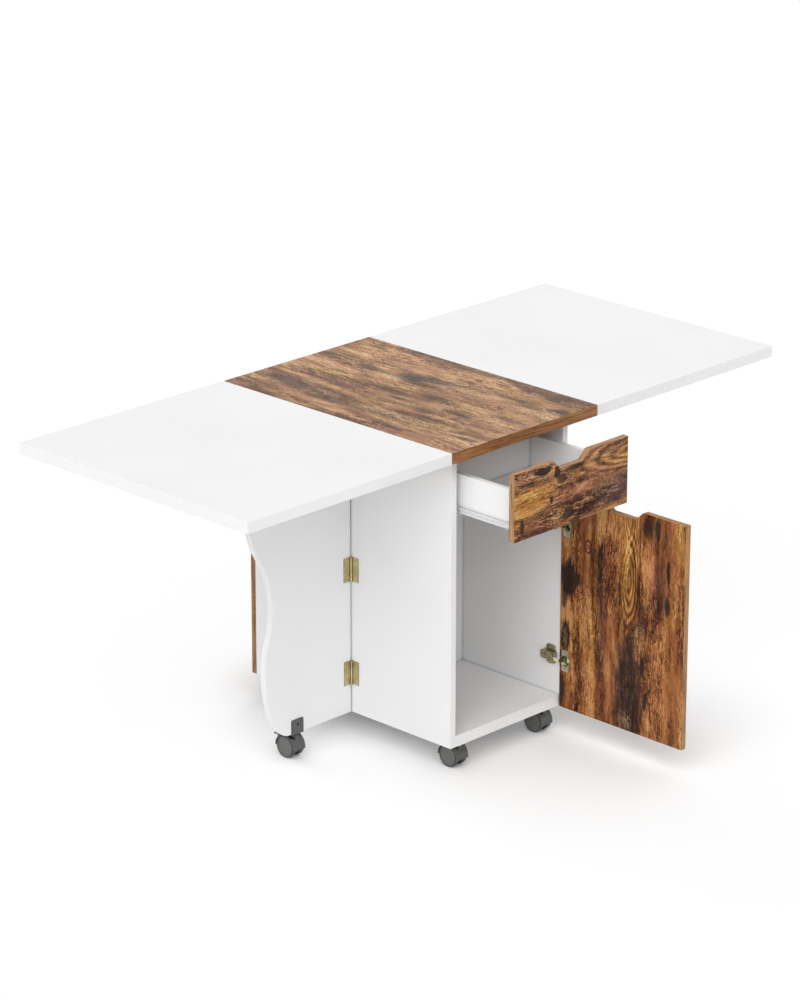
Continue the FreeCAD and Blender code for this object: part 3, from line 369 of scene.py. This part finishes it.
class Wood(Graph):
    """Node tree of a wood print: u runs along the grain, v across the board and w through it."""

    def __init__(self, name, axes, seed, short):
        super().__init__(name)
        place = self.place()
        place[1] = place[1] - SHIFT_Y
        self.u, self.v, self.w = (place[i] for i in axes)
        self.axes = axes
        self.seed = seed
        self.short = short
        u, v, w = self.u, self.v, self.w

        # The grain wanders slowly and trembles a little
        wander = self.swing(u * 2.2, v * 6.0 + seed, w * 2.0, 2.0)
        self.tremble = self.swing(u * 26.0, v * 70.0, w + seed, 4.0, 0.65)
        self.vv = v + wander * 0.05 + self.tremble * 0.012

        # Noises that several layers of the print share, from coarse to fine
        self.mottle = self.swing(u * 30.0 + seed, self.vv * 55.0, w * 30.0, 5.0, 0.68)
        self.ragged = self.swing(u * 34.0 + seed, v * 90.0, w * 20.0, 5.0, 0.72)
        self.streak = self.drawn(STREAK, 2.1)
        self.hair = self.drawn(HAIR, 0.7)
        self.grit = self.swing(u * 150.0 + seed, v * 330.0, w * 90.0, 3.0, 0.75, 0.8)
        self.uneven = self.tremble * 1.2 + self.mottle * 0.8

    def swing(self, x, y, z, detail=3.0, rough=0.55, warp=0.0):
        """Noise about zero."""
        return self.noise(self.vec(x, y, z), 1.0, detail, rough, warp) - 0.5

    def drawn(self, layer, shift):
        """Noise about zero, drawn out along the grain; the shift, in seeds, keeps the layers apart."""
        along, across, detail, rough = layer
        x = self.u * (along * self.short) + self.seed * shift
        y = self.vv * across + self.seed
        return self.swing(x, y, self.w * across * 0.5, detail, rough)

    def oval(self, place, blur):
        """Distance from the middle of a place (u, v, length, width), 1 at its edge, made uneven by blur."""
        u, v, length, width = place
        du = (self.u - u) / length
        dv = (self.vv - v) / width
        return (du * du + dv * dv).sqrt() + blur

    def grain(self, figures, bold, fine, contrast, tone):
        """Lightness of the grain, 0 dark and 1 light; small marks are stronger in lively stretches."""
        board = self.drawn(BOARD, 1.0)
        belt = self.drawn(BELT, 1.3)
        calm = self.drawn(CALM, 6.1).step(0.06, -0.06) * 0.85
        for *place, rings, strength in figures:
            calm = calm.max(self.oval(place, self.mottle * 0.3).step(1.3, 0.9) * 0.7)
        lively = calm * -1.4 + 1.58
        small = (self.streak * 1.2 + self.hair * 1.5 + self.grit * 1.6) * fine
        level = board * bold + belt * 1.2 + self.mottle * 0.6 + small * lively
        return level * contrast + (0.52 + tone)

    def ringed(self, level, figures):
        """Growth rings, light and dark, cut by the grain."""
        for *place, rings, strength in figures:
            r = self.oval(place, self.tremble * 0.30 + self.mottle * 0.15)
            wave = (r * (rings * math.tau)).sin()
            level = level + (wave * (self.streak * 2.5 + 0.9) + 0.15) * r.step(1.2, 0.85) * strength
        return level

    def shaded(self, level, shades):
        """Lighter and darker stretches."""
        for *place, strength in shades:
            level = level + self.oval(place, self.uneven).step(1.35, 0.45) * strength
        return level

    def flecked(self, level, contrast):
        """Dark veins and dark and light flecks along the grain, in places."""
        vein = self.drawn(VEIN, 4.3).abs().step(0.026, 0.006)
        fleck = self.swing(self.u * 70.0 + self.seed, self.vv * 230.0, self.w * 60.0, 3.0, 0.6, 1.5)
        level = level - vein * self.mottle.step(-0.05, 0.08) * (0.30 * contrast)
        level = level - fleck.step(0.07, 0.12) * self.ragged.step(-0.02, 0.10) * (0.30 * contrast)
        return level + fleck.step(-0.12, -0.17) * (0.22 * contrast)

    def tinted(self, level, stops, gold, rust, tints):
        """Colour for the lightness, with redder, yellower and placed stretches."""
        colour = self.ramp(level, stops)
        warm = self.drawn(WARMTH, 5.7)
        colour = self.mix(warm.step(0.02, 0.14) * 0.6, colour, self.ramp(level, rust))
        colour = self.mix(warm.step(-0.02, -0.14) * 0.6, colour, self.ramp(level, gold))
        for hues, stains in tints:
            parts = [self.oval(place, self.uneven).step(1.2, 0.6) * strength for *place, strength in stains]
            colour = self.mix(reduce(Val.max, parts), colour, self.ramp(level, hues))
        return colour

    def burnt(self, patches, soft):
        """Mask of the dark patches with torn edges."""
        mask = self.drawn(ASH, 1.9).step(0.15, 0.17 + soft * 0.1) * 0.75
        torn = self.ragged * 1.5 + self.streak
        for *place, strength in patches:
            mask = mask.max(self.oval(place, torn).step(1.0 + soft, 1.0 - soft) * strength)
        return mask

    def pitted(self, knots, cracks):
        """Mask of the pits, cracks and knots."""
        mask = self.grit.step(0.16, 0.26) * 0.5
        for v, start, end, width in cracks:
            d = (self.v - v + self.tremble * 0.003).abs()
            along = self.u.step(start - 0.01, start + 0.01) * self.u.step(end + 0.01, end - 0.01)
            mask = mask.max(d.step(width, width * 0.3) * along * (self.hair * 3.0 + 0.7))
        for u, v, radius in knots:
            r = self.oval((u, v, radius * 1.25, radius), self.ragged * 0.9 + self.tremble * 0.5)
            mask = mask.max(r.step(1.1, 0.9) * r.step(0.55, 0.8) * 0.85).max(r.step(0.5, 0.25) * 0.5)
        return mask

    def scuffed(self, scuffs, chalk):
        """Mask of the light scratches and chips."""
        u, v, w, seed = self.u, self.v, self.w, self.seed
        web = self.swing(u * 55.0, v * 150.0, w + seed, 4.0, 0.65, 1.2).abs()
        chips = self.swing(u * 120.0 + seed, v * 210.0, w * 50.0, 2.0)
        scratch = web.step(0.028, 0.010) * 0.9 + chips.step(0.2, 0.27) * 0.5
        worn = self.mottle.step(0.2, 0.3) * chalk
        for place in scuffs:
            worn = worn.max(self.oval(place, self.tremble * 0.6).step(1.2, 0.3) * 0.8)
        return scratch * worn

    def banded(self, colour, band):
        """The print on the faces, and a plainer banding strip on the edges."""
        normal = self.facing()
        along, across = BANDING
        along_u = self.noise(self.vec(self.u * along, self.w * across, self.seed), 1.0, 4.0, 0.6)
        along_v = self.noise(self.vec(self.v * along, self.w * across, self.seed), 1.0, 4.0, 0.6)
        strip = along_u + (along_v - along_u) * normal[self.axes[0]].abs().step(0.5, 0.7)
        banding = self.mix((strip + self.grit * 0.4).step(0.32, 0.60), shade(band, 0.45), band)
        return self.mix(normal[self.axes[2]].abs().step(0.55, 0.8), banding, colour)


def rustic(name, axes, seed, patches=(), shades=(), tints=(), knots=(), cracks=(), figures=(), scuffs=(),
           stops=BROWN, gold=GOLD, rust=RUST, tone=0.0, contrast=1.0, bold=1.35, fine=1.0, short=1.0,
           soft=0.25, chalk=0.4, ash=srgb(38, 26, 21), band=srgb(150, 106, 72), light=srgb(206, 166, 120)):
    """Rustic brown wood print on one board.

    axes are the grain's, the board's width's and its thickness's. With u along the grain and v across it,
    a patch or stain is (u, v, length, width, strength), a knot (u, v, radius), a crack (v, u from, u to,
    width), a figure (u, v, length, width, rings, strength) and a scuff (u, v, length, width). tints pairs
    palettes with lists of stains, and shades are stains that are lighter or, below zero, darker.
    bold and fine scale the wide and the small grain, a larger short makes the grain shorter, soft blurs
    the patches of ash, and chalk is the strength of the scratches away from the scuffs.
    """
    g = Wood(name, axes, seed, short)
    level = g.grain(figures, bold, fine, contrast, tone)
    level = g.ringed(level, figures)
    level = g.shaded(level, shades)
    level = g.flecked(level, contrast)
    colour = g.tinted(level, stops, gold, rust, tints)

    burnt = g.burnt(patches, soft)
    inside = g.ramp(g.hair * 1.6 + g.mottle * 1.6 + 0.45, [(0.2, ash), (0.95, shade(ash, 2.4))])
    colour = g.mix(burnt, colour, inside)
    pitted = g.pitted(knots, cracks)
    colour = g.mix(pitted, colour, KNOT)
    colour = g.mix(g.scuffed(scuffs, chalk), colour, light)

    g.set(Base_Color=g.banded(colour, band), Specular_IOR_Level=0.12)
    g.set(Roughness=burnt * 0.10 + g.grit * 0.3 + 0.46)
    g.bump(g.hair * 0.5 + g.grit * 0.5 - pitted * 0.4, 0.12, 0.0010)
    return g.mat


# Painted sheen: the top's palettes and its paler, greyer ash stand in for the haze its gloss shows at a
# grazing angle.
TOP = rustic("rustic_top", (1, 0, 2), 3.7,
             patches=[(0.187, 0.069, 0.036, 0.012, 0.85), (0.155, 0.022, 0.026, 0.010, 0.5),
                      (0.064, 0.082, 0.044, 0.026, 0.95), (0.015, 0.098, 0.040, 0.018, 0.85),
                      (-0.008, 0.108, 0.040, 0.012, 0.8), (-0.030, 0.143, 0.030, 0.006, 0.6),
                      (0.245, -0.122, 0.080, 0.026, 0.7), (0.090, -0.150, 0.048, 0.014, 0.6),
                      (-0.008, -0.036, 0.030, 0.006, 0.85), (-0.169, -0.029, 0.042, 0.007, 0.9),
                      (-0.328, 0.131, 0.022, 0.016, 0.95), (-0.137, -0.188, 0.036, 0.007, 0.85),
                      (-0.290, -0.140, 0.056, 0.006, 0.85), (0.309, 0.081, 0.030, 0.009, 0.7),
                      (0.158, 0.214, 0.060, 0.010, 0.6), (0.0, 0.206, 0.12, 0.012, 0.55),
                      (-0.20, 0.206, 0.15, 0.012, 0.5), (0.28, 0.187, 0.03, 0.008, 0.5)],
             shades=[(0.28, 0.16, 0.08, 0.06, 0.21), (0.28, -0.04, 0.05, 0.03, -0.20),
                     (0.08, -0.115, 0.12, 0.04, -0.19), (-0.14, -0.115, 0.08, 0.035, -0.17),
                     (-0.27, 0.112, 0.07, 0.03, -0.17), (0.06, 0.037, 0.08, 0.025, 0.09),
                     (-0.17, 0.186, 0.05, 0.02, 0.15), (-0.25, 0.0, 0.06, 0.04, 0.10),
                     (-0.06, 0.115, 0.10, 0.03, -0.10)],
             tints=[(PAINTED_SHEEN_GOLD, [(0.207, -0.017, 0.09, 0.020, 0.8), (-0.205, -0.122, 0.10, 0.02, 0.7)]),
                    (PAINTED_SHEEN_RUST, [(0.03, 0.158, 0.16, 0.022, 0.6), (0.116, -0.047, 0.10, 0.03, 0.8),
                                 (-0.10, -0.19, 0.20, 0.025, 0.7)])],
             scuffs=[(0.110, 0.062, 0.05, 0.025), (-0.10, -0.125, 0.14, 0.022),
                     (-0.30, 0.080, 0.07, 0.035), (0.12, -0.12, 0.05, 0.015),
                     (-0.09, 0.09, 0.12, 0.035), (-0.26, -0.02, 0.06, 0.02)],
             stops=PAINTED_SHEEN, gold=PAINTED_SHEEN_GOLD, rust=PAINTED_SHEEN_RUST, contrast=0.97, fine=0.82, short=1.35,
             soft=0.45, chalk=0.7, ash=srgb(70, 60, 56), band=srgb(162, 112, 72), light=srgb(226, 194, 156))
DRAWER = rustic("rustic_drawer", (0, 2, 1), 9.1,
                patches=[(-0.087, 0.715, 0.026, 0.008, 1.0), (-0.138, 0.696, 0.026, 0.004, 0.8),
                         (-0.046, 0.706, 0.010, 0.014, 0.95), (-0.030, 0.682, 0.014, 0.012, 0.8),
                         (0.000, 0.700, 0.020, 0.010, 0.7), (-0.062, 0.640, 0.005, 0.009, 0.95),
                         (0.020, 0.625, 0.016, 0.008, 0.8), (0.052, 0.628, 0.012, 0.006, 0.7),
                         (-0.010, 0.602, 0.020, 0.012, 0.9), (0.010, 0.578, 0.016, 0.008, 0.8),
                         (-0.152, 0.600, 0.006, 0.018, 0.85), (-0.089, 0.577, 0.040, 0.006, 0.5)],
                shades=[(0.0, 0.668, 0.050, 0.020, -0.22), (0.13, 0.645, 0.06, 0.03, 0.18),
                        (0.04, 0.63, 0.04, 0.02, 0.22), (0.14, 0.622, 0.04, 0.02, 0.10),
                        (0.07, 0.593, 0.06, 0.014, -0.18), (0.02, 0.70, 0.02, 0.012, -0.20),
                        (-0.155, 0.70, 0.025, 0.015, 0.12)],
                tints=[(GOLD, [(-0.125, 0.660, 0.075, 0.034, 1.0), (-0.155, 0.610, 0.03, 0.03, 0.7),
                               (0.170, 0.703, 0.02, 0.006, 0.6)]),
                       (CLAY, [(0.060, 0.660, 0.09, 0.030, 0.8), (-0.110, 0.592, 0.060, 0.022, 0.8),
                               (-0.01, 0.640, 0.04, 0.02, 0.8)]),
                       (PLUM, [(0.130, 0.615, 0.075, 0.040, 1.0), (0.040, 0.595, 0.05, 0.02, 0.8)])],
                figures=[(0.215, 0.700, 0.200, 0.046, 4.0, 0.22), (-0.03, 0.685, 0.03, 0.024, 3.0, 0.12),
                         (-0.14, 0.655, 0.20, 0.040, 7.0, 0.09)],
                scuffs=[(0.11, 0.63, 0.05, 0.02), (-0.04, 0.60, 0.03, 0.01)],
                stops=BUFF, rust=CLAY, contrast=0.84, fine=1.3, band=srgb(176, 136, 98))
DOOR = rustic("rustic_door", (2, 1, 0), 5.3,
              patches=[(0.365, -0.324, 0.042, 0.026, 1.0), (0.368, -0.350, 0.018, 0.014, 0.9),
                       (0.328, -0.314, 0.028, 0.008, 0.85), (0.228, -0.322, 0.036, 0.015, 1.0),
                       (0.105, -0.309, 0.036, 0.009, 0.85), (0.500, -0.335, 0.030, 0.012, 0.5),
                       (0.433, -0.421, 0.044, 0.006, 0.9), (0.361, -0.424, 0.050, 0.007, 0.5),
                       (0.542, -0.577, 0.028, 0.008, 0.95), (0.539, -0.548, 0.022, 0.010, 0.85),
                       (0.451, -0.611, 0.028, 0.005, 1.0), (0.373, -0.609, 0.020, 0.007, 0.9),
                       (0.328, -0.534, 0.044, 0.008, 0.7), (0.200, -0.414, 0.070, 0.008, 0.45),
                       (0.150, -0.500, 0.105, 0.030, 0.55), (0.222, -0.546, 0.024, 0.006, 0.95),
                       (0.142, -0.558, 0.020, 0.006, 1.0), (0.060, -0.506, 0.030, 0.024, 0.6),
                       (0.430, -0.498, 0.040, 0.004, 0.5)],
              shades=[(0.41, -0.437, 0.09, 0.048, -0.32), (0.46, -0.547, 0.06, 0.026, 0.32),
                      (0.285, -0.325, 0.055, 0.030, 0.36), (0.35, -0.547, 0.06, 0.026, -0.22),
                      (0.30, -0.640, 0.06, 0.026, -0.26), (0.18, -0.53, 0.13, 0.042, -0.24),
                      (0.21, -0.615, 0.11, 0.040, 0.20), (0.10, -0.370, 0.09, 0.065, 0.22),
                      (0.195, -0.415, 0.055, 0.028, 0.20), (0.50, -0.640, 0.05, 0.02, -0.14)],
              tints=[(GOLD, [(0.250, -0.397, 0.110, 0.008, 1.0), (0.225, -0.346, 0.080, 0.012, 0.9),
                             (0.430, -0.497, 0.130, 0.024, 0.8), (0.526, -0.635, 0.050, 0.016, 0.8),
                             (0.317, -0.650, 0.060, 0.010, 0.8), (0.15, -0.65, 0.12, 0.010, 0.5)]),
                     (AMBER, [(0.110, -0.375, 0.10, 0.065, 0.9), (0.200, -0.610, 0.13, 0.045, 0.9),
                              (0.280, -0.340, 0.06, 0.030, 0.8)]),
                     (RUST, [(0.437, -0.565, 0.070, 0.024, 0.9), (0.310, -0.640, 0.05, 0.03, 0.6),
                             (0.313, -0.330, 0.040, 0.020, 0.5), (0.452, -0.379, 0.022, 0.018, 0.9)]),
                     (PLUM, [(0.160, -0.500, 0.13, 0.045, 0.9), (0.400, -0.585, 0.06, 0.03, 0.5),
                             (0.330, -0.425, 0.16, 0.012, 0.7)])],
              knots=[(0.452, -0.379, 0.013), (0.328, -0.571, 0.008),
                     (0.276, -0.648, 0.006), (0.430, -0.648, 0.005)],
              cracks=[(-0.530, 0.06, 0.56, 0.0018)],
              figures=[(0.405, -0.498, 0.115, 0.027, 4.0, 0.26), (0.545, -0.495, 0.09, 0.022, 3.0, 0.22)],
              scuffs=[(0.225, -0.322, 0.03, 0.01), (0.28, -0.53, 0.05, 0.02), (0.08, -0.50, 0.03, 0.02)],
              tone=0.01, contrast=0.94, bold=1.7, fine=0.80, band=srgb(176, 132, 90))
BACK_DRAWER = rustic("rustic_back_drawer", (0, 2, 1), 14.9, band=srgb(176, 136, 98))
BACK_DOOR = rustic("rustic_back_door", (2, 0, 1), 21.4, band=srgb(170, 122, 84))


# Materials by slot and by node --------------------------------------------------------------

WHITE = white_laminate("white_laminate", srgb(231, 231, 231))
WHITE_STEEL = white_laminate("white_steel", srgb(222, 222, 222), 0.38, 0.3)
BRASS_TONE = srgb(214, 204, 168)
BRASS = plated("brass", srgb(180, 169, 130), BRASS_TONE, srgb(104, 88, 56), 0.42, 0.006)
NICKEL = plated("nickel", srgb(188, 183, 150), srgb(244, 240, 216), srgb(72, 62, 42), 0.38, 0.009)
PLASTIC = moulded("dark_plastic", srgb(54, 54, 54), srgb(98, 98, 97))
SLOTS = {"white_laminate": WHITE, "white_steel": WHITE_STEEL, "brass": BRASS, "nickel": NICKEL,
         "dark_plastic": PLASTIC}

# The castor bracket's screws lie below this height, and the leg's hinge screws above it
BRACKET_TOP = 0.12

# The hinge arms' link, painted bright as a highlight, measured from the cabinet's middle
LINK_START = 0.2925
LINK_END = 0.3085

LEG_SCREWS = leg_screw_metal("leg_screws", BRASS_TONE, srgb(40, 40, 40), BRACKET_TOP)
HINGE_ARMS = hinge_arm_metal("hinge_arms", srgb(150, 144, 104), srgb(212, 206, 168), srgb(250, 240, 210),
                             LINK_START, LINK_END)
OWN = {"table_top": TOP, "front_drawer_front": DRAWER, "front_door": DOOR, "back_drawer_front": BACK_DRAWER,
       "back_door": BACK_DOOR, "door_hinge_arms": HINGE_ARMS}


def castor_wheels(name):
    """Wheel material centred on a castor's own pair of wheels."""
    low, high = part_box(name)
    middle = [(a + b) / 2 for a, b in zip(low, high)]
    return wheel(name, middle, high[2] - middle[2], srgb(52, 52, 52), srgb(97, 97, 94))


slot_of = {s["node"]: s["material_slot"] for s in frame["record"]["subparts"]}
for name, obj in nodes.items():
    if name.endswith("_castor_wheels"):
        mat = castor_wheels(name)
    elif name.endswith("_leg_screws"):
        mat = LEG_SCREWS
    else:
        mat = OWN.get(name) or SLOTS[slot_of[name]]
    obj.data.materials.clear()
    obj.data.materials.append(mat)


# Stage --------------------------------------------------------------------------------------

FLOOR_HALF = 14.0
FLOOR_TONE = (0.97, 0.97, 0.97, 1.0)

# The floor fades into the white backdrop where nothing within this distance covers it: not at all below
# the first share of open sky, and in full above the second
FADE_DISTANCE = 0.30
FADE_OPEN = (0.62, 0.96)

# Strength of the fade before the table, and to its left and behind it, where it grows over these lengths
FADE_NEAR = 0.25
FADE_AWAY = 0.85
FADE_LEFT = (0.14, 0.50)
FADE_BEHIND = (0.14, 0.70)

WHITE_LIGHT = (1.0, 1.0, 1.0, 1.0)
WORLD_STRENGTH = 0.33

# Azimuth from +X towards +Y and elevation, in degrees, and strength
SUNS = {"key": (-149, 45, 2.13), "front": (-112, 15, 0.42), "side": (0, 60, 0.56), "back": (90, 15, 1.30)}
SUN_WIDTH = 60

CAMERA_PLACE = (-5.9534, SHIFT_Y - 5.8353, 3.4969)
CAMERA_TILT = 70.25
CAMERA_HEADING = -45.44
LENS = 146.5
SENSOR_HEIGHT = 36.0


def backdrop_rays(tree):
    """1 for the rays that see the white backdrop: the camera's, and those through gloss and glass."""
    path = tree.nodes.new("ShaderNodeLightPath")
    seen = path.outputs["Is Camera Ray"]
    for ray in ("Is Glossy Ray", "Is Transmission Ray"):
        either = tree.nodes.new("ShaderNodeMath")
        either.operation = "MAXIMUM"
        tree.links.new(seen, either.inputs[0])
        tree.links.new(path.outputs[ray], either.inputs[1])
        seen = either.outputs[0]
    return seen


def floor_material():
    """Matt white that keeps the table's shadow near it, and with a painted white glow fades into the white
    backdrop around it.
    """
    g = Graph("floor")
    g.set(Base_Color=FLOOR_TONE, Roughness=0.9, Specular_IOR_Level=0.0)
    around = g.node("ShaderNodeAmbientOcclusion")
    around.inputs["Distance"].default_value = FADE_DISTANCE
    opened = Val(g, around.outputs["AO"]).step(*FADE_OPEN)
    x, y = g.place()[:2]
    away = (y - x).step(*FADE_LEFT).max((x + y).step(*FADE_BEHIND))
    # Painted light: for the camera the floor is mixed with a white glow where it is open, more to the
    # table's left and behind it, which lightens the shadow there.
    fade = Val(g, backdrop_rays(g.t)) * opened * (away * (FADE_AWAY - FADE_NEAR) + FADE_NEAR)

    glow = g.node("ShaderNodeEmission")
    blend = g.node("ShaderNodeMixShader")
    g.put(blend.inputs[0], fade)
    g.put(blend.inputs[1], g.bsdf.outputs[0])
    g.put(blend.inputs[2], glow.outputs[0])
    g.put(g.t.nodes["Material Output"].inputs[0], blend.outputs[0])
    return g.mat


def stage_floor():
    mesh = bpy.data.meshes.new("floor")
    s = FLOOR_HALF
    mesh.from_pydata([(-s, -s, 0), (s, -s, 0), (s, s, 0), (-s, s, 0)], [], [(0, 1, 2, 3)])
    mesh.materials.append(floor_material())
    obj = bpy.data.objects.new("floor", mesh)
    scene.collection.objects.link(obj)


def sun(name, azimuth, elevation, strength):
    """Wide soft light from a direction."""
    data = bpy.data.lights.new(name, "SUN")
    data.energy = strength
    data.angle = math.radians(SUN_WIDTH)
    obj = bpy.data.objects.new(name, data)
    scene.collection.objects.link(obj)
    obj.rotation_euler = (0, math.radians(90 - elevation), math.radians(azimuth))


def world():
    """Plain soft light all round, before a white backdrop."""
    w = bpy.data.worlds.new("studio")
    scene.world = w
    w.use_nodes = True
    t = w.node_tree
    soft = t.nodes["Background"]
    backdrop = t.nodes.new("ShaderNodeBackground")
    for background, strength in ((soft, WORLD_STRENGTH), (backdrop, 1.0)):
        background.inputs[0].default_value = WHITE_LIGHT
        background.inputs[1].default_value = strength
    mix = t.nodes.new("ShaderNodeMixShader")
    t.links.new(backdrop_rays(t), mix.inputs[0])
    t.links.new(soft.outputs[0], mix.inputs[1])
    t.links.new(backdrop.outputs[0], mix.inputs[2])
    t.links.new(mix.outputs[0], t.nodes["World Output"].inputs[0])


def camera():
    data = bpy.data.cameras.new("camera")
    data.lens = LENS
    data.sensor_fit = "VERTICAL"
    data.sensor_height = SENSOR_HEIGHT
    data.clip_end = 60.0
    obj = bpy.data.objects.new("camera", data)
    scene.collection.objects.link(obj)
    obj.location = CAMERA_PLACE
    obj.rotation_euler = (math.radians(CAMERA_TILT), 0, math.radians(CAMERA_HEADING))
    scene.camera = obj


stage_floor()
for name, (azimuth, elevation, strength) in SUNS.items():
    sun(name, azimuth, elevation, strength)
world()
camera()
scene.view_settings.view_transform = "Standard"
